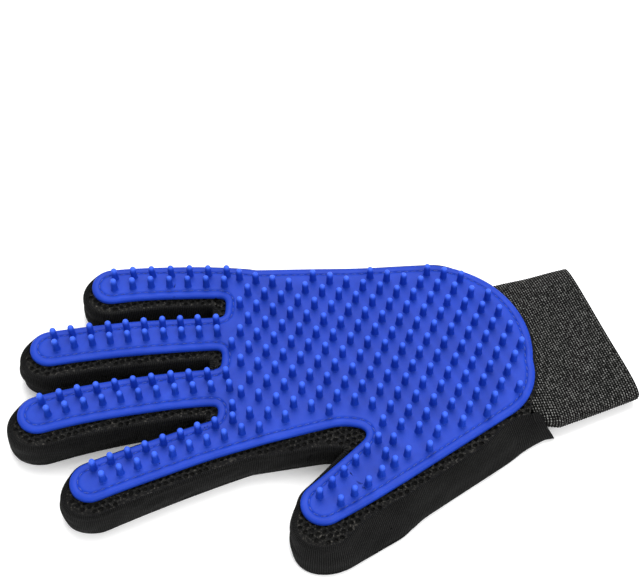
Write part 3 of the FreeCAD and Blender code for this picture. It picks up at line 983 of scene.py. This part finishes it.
def make_mesh():
    """Spacer mesh: a pierced face over a plain one, joined at its edges. Its holes are pits with a floor."""
    top, rim_drop, floor = Z_MESH + 1.3, 0.28, Z_MESH + 0.5
    under_pad_height = Z_PAD - 0.08
    outline = mesh_outline()
    under_pad = pad_loop - pad_normal * 1.4
    cells = honeycomb(outline.min(0), outline.max(0), HOLE_PITCH, turn=0.35)
    cells += rng.normal(0, 0.07, cells.shape)
    cells = cells[inside(outline, cells, 1.35) & ~inside(pad_loop, cells, 0.9)]
    angle = circle_angles(HOLE_SIDES)
    loops = [outline, under_pad]
    for centre in cells:
        turn = rng.uniform(0.15, 0.55)
        size = rng.uniform(0.88, 1.08)
        x, y = size * HOLE_RADIUS[0] * np.cos(angle), size * HOLE_RADIUS[1] * np.sin(angle)
        loops.append(centre + np.c_[x * math.cos(turn) - y * math.sin(turn),
                                    x * math.sin(turn) + y * math.cos(turn)])
    plan, faces = joined(loops)
    tris, origins, extra = numbered(plan, faces)
    # The pierced face lies inside the outline alone, and not in a hole or under the pad.
    kept = np.array([tri for tri, origin in zip(tris, origins) if list(origin) == [0]])
    n_outer = len(outline)
    first_hole = n_outer + len(under_pad)
    holes = np.arange(first_hole, len(plan)).reshape(-1, HOLE_SIDES)
    plan = np.concatenate([plan, extra])
    count = len(plan)
    upper = np.c_[plan, np.full(count, top)]
    upper[n_outer:first_hole, 2] = under_pad_height
    # Each hole has a rounded edge: a second ring, a little smaller and lower, and a third at its floor.
    centre_of = plan.copy()
    centre_of[holes] = plan[holes].mean(1, keepdims=True)
    rim_ring = np.c_[centre_of + (plan - centre_of) * 0.86, np.full(count, top - rim_drop)]
    floor_ring = np.c_[centre_of + (plan - centre_of) * 0.80, np.full(count, floor)]
    walls, lids = [], []
    for k in holes:
        following = np.roll(k, -1)
        for a, b in ((0, count), (count, 2 * count)):
            walls.append(np.c_[k + a, following + a, following + b, k + b][:, ::-1])
        fan = 2 * count + k
        lids.append(np.c_[np.full(len(k) - 2, fan[0]), fan[1:-1], fan[2:]])
    # Under face and outer edge.
    grid, under = filled(outline, 2.4)
    first_lower = 3 * count
    lower = np.concatenate([outline, grid])
    lower = np.c_[lower, np.full(len(lower), Z_MESH)]
    k = np.arange(n_outer)
    following = np.roll(k, -1)
    edge = np.c_[k, first_lower + k, first_lower + following, following]
    # Middle, under the pad, where no holes show.
    middle_grid, middle = filled(under_pad, 2.4)
    middle_points = np.c_[middle_grid, np.full(len(middle_grid), under_pad_height)]
    first_middle = first_lower + len(lower)
    middle = np.where(middle < len(under_pad), middle + n_outer, middle - len(under_pad) + first_middle)
    verts = np.concatenate([upper, rim_ring, floor_ring, lower, middle_points])
    faces = [kept, np.concatenate(lids), middle, (under + first_lower)[:, ::-1],
             np.concatenate(walls), edge[:, ::-1]]
    return split("mesh", settle(verts), faces, "spacer_mesh")


# ---- cuff
def cuff_point(along, across):
    """Plan point at a place along and across the line of the cuff."""
    c, s = math.cos(CUFF_ANGLE), math.sin(CUFF_ANGLE)
    return np.stack([along * c - across * s, along * s + across * c], axis=-1)


def cuff_section(along, inset):
    """Closed section of the flattened tube at one place along it: a superellipse, with nearly flat
    faces and round folds. Its upper face dips a little towards the free end."""
    share = (along - CUFF_START) / (CUFF_END - CUFF_START)
    width = CUFF_WIDTH[0] + (CUFF_WIDTH[1] - CUFF_WIDTH[0]) * share
    width -= CUFF_NECK * max(0.0, 1 - (along - CUFF_START) / CUFF_NECK)
    high = CUFF_THICKNESS + CUFF_SWELL * (1 - ease(along, CUFF_START + 4.0, 26.0))
    angle = circle_angles(CUFF_SIDES)
    cosine, sine = np.cos(angle), np.sin(angle)
    across = np.sign(cosine) * np.abs(cosine) ** 0.55 * (width / 2 - inset)
    up = np.sign(sine) * np.abs(sine) ** 0.62 * (high / 2 - inset)
    dip = 0.8 * share * np.clip(sine, 0, 1) * (1 - (across / (width / 2)) ** 2)
    return across, high / 2 + up - dip


def make_cuff():
    """Woven elastic band, sewn into a tube: fine ribs round it, and an open mouth."""
    rows, uv_rows = [], []

    def add(step, inset, bevel=0.0):
        """Add a section a step from the seam, moved on by a bevel."""
        along = CUFF_START + step
        across, z = cuff_section(along, inset)
        points = np.c_[cuff_point(np.full(CUFF_SIDES, along + bevel), CUFF_MIDDLE + across), z]
        girth = run_along(np.concatenate([points, points[:1]]))[:-1]
        slack = 0.22 * noise(np.c_[np.full(CUFF_SIDES, along), girth * 0.5], 30.0, 31)
        points[:, 2] = np.maximum(points[:, 2] + slack * np.clip((z - 4) / 6, 0, 1), 0.05)
        rows.append(points)
        uv_rows.append(np.c_[np.full(CUFF_SIDES, step), girth])

    length = CUFF_END - CUFF_START
    for step in np.arange(0, length + 0.01, RIB_PITCH / RIB_SAMPLES):
        add(step, -0.11 * math.cos(math.tau * step / RIB_PITCH))
    for bevel, inset in ((0.25, 0.25), (0.35, 0.75), (0.2, 1.25)):
        add(length, inset, bevel)
    for step in np.arange(length, -0.01, -2.0):
        add(step, ELASTIC)
    quads = strip_faces(len(rows), CUFF_SIDES, True, True)
    obj = mesh_object("cuff_elastic_band", np.concatenate(rows), [quads], "woven_elastic",
                      uv=np.concatenate(uv_rows))
    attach(obj, "palm")
    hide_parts("cuff_elastic")
    return obj


make_pad()
make_stitches()
make_pins()
make_gusset()
make_back()
make_mesh()
make_cuff()


# ---- studio
def make_floor():
    """White floor, a hair below the glove."""
    size, height = 3.0, -0.0004
    mesh = bpy.data.meshes.new("floor")
    corners = [(-size, -size, height), (size, -size, height), (size, size, height), (-size, size, height)]
    mesh.from_pydata(corners, [], [(0, 1, 2, 3)])
    m = Shader("floor", Roughness=0.9, Specular_IOR_Level=0.1, Emission_Color=(1, 1, 1, 1),
               Emission_Strength=0.16)
    m.colour(m.noise(m.node("NewGeometry").outputs[0], 3.0), [(0.3, 0.93), (0.7, 0.96)])
    mesh.materials.append(m.material)
    add_object("floor", mesh)


def area_light(name, location, size, power):
    """Round lamp that points at the origin."""
    data = bpy.data.lights.new(name, "AREA")
    data.shape = "DISK"
    data.size = size
    data.energy = power
    lamp = add_object(name, data)
    lamp.location = location
    lamp.rotation_euler = (-Vector(location)).to_track_quat("-Z", "Y").to_euler()


def make_studio():
    make_floor()
    area_light("key", (0.0, 0.6, 1.35), 1.1, 20.0)
    area_light("fill", (0.75, -0.85, 0.95), 1.4, 13.0)
    world = bpy.data.worlds.new("studio")
    world.use_nodes = True
    background = world.node_tree.nodes["Background"]
    background.inputs["Color"].default_value = (1, 1, 1, 1)
    background.inputs["Strength"].default_value = 0.7
    scene = bpy.context.scene
    scene.world = world
    scene.view_settings.view_transform = "Standard"
    data = bpy.data.cameras.new("camera")
    data.lens = 72.56
    data.sensor_width = 36.0
    data.clip_start = 0.01
    camera = add_object("camera", data)
    camera.location = (-0.00291, -0.2593, 0.4476)
    camera.rotation_euler = (math.radians(35.4), 0, 0)
    scene.camera = camera


make_studio()
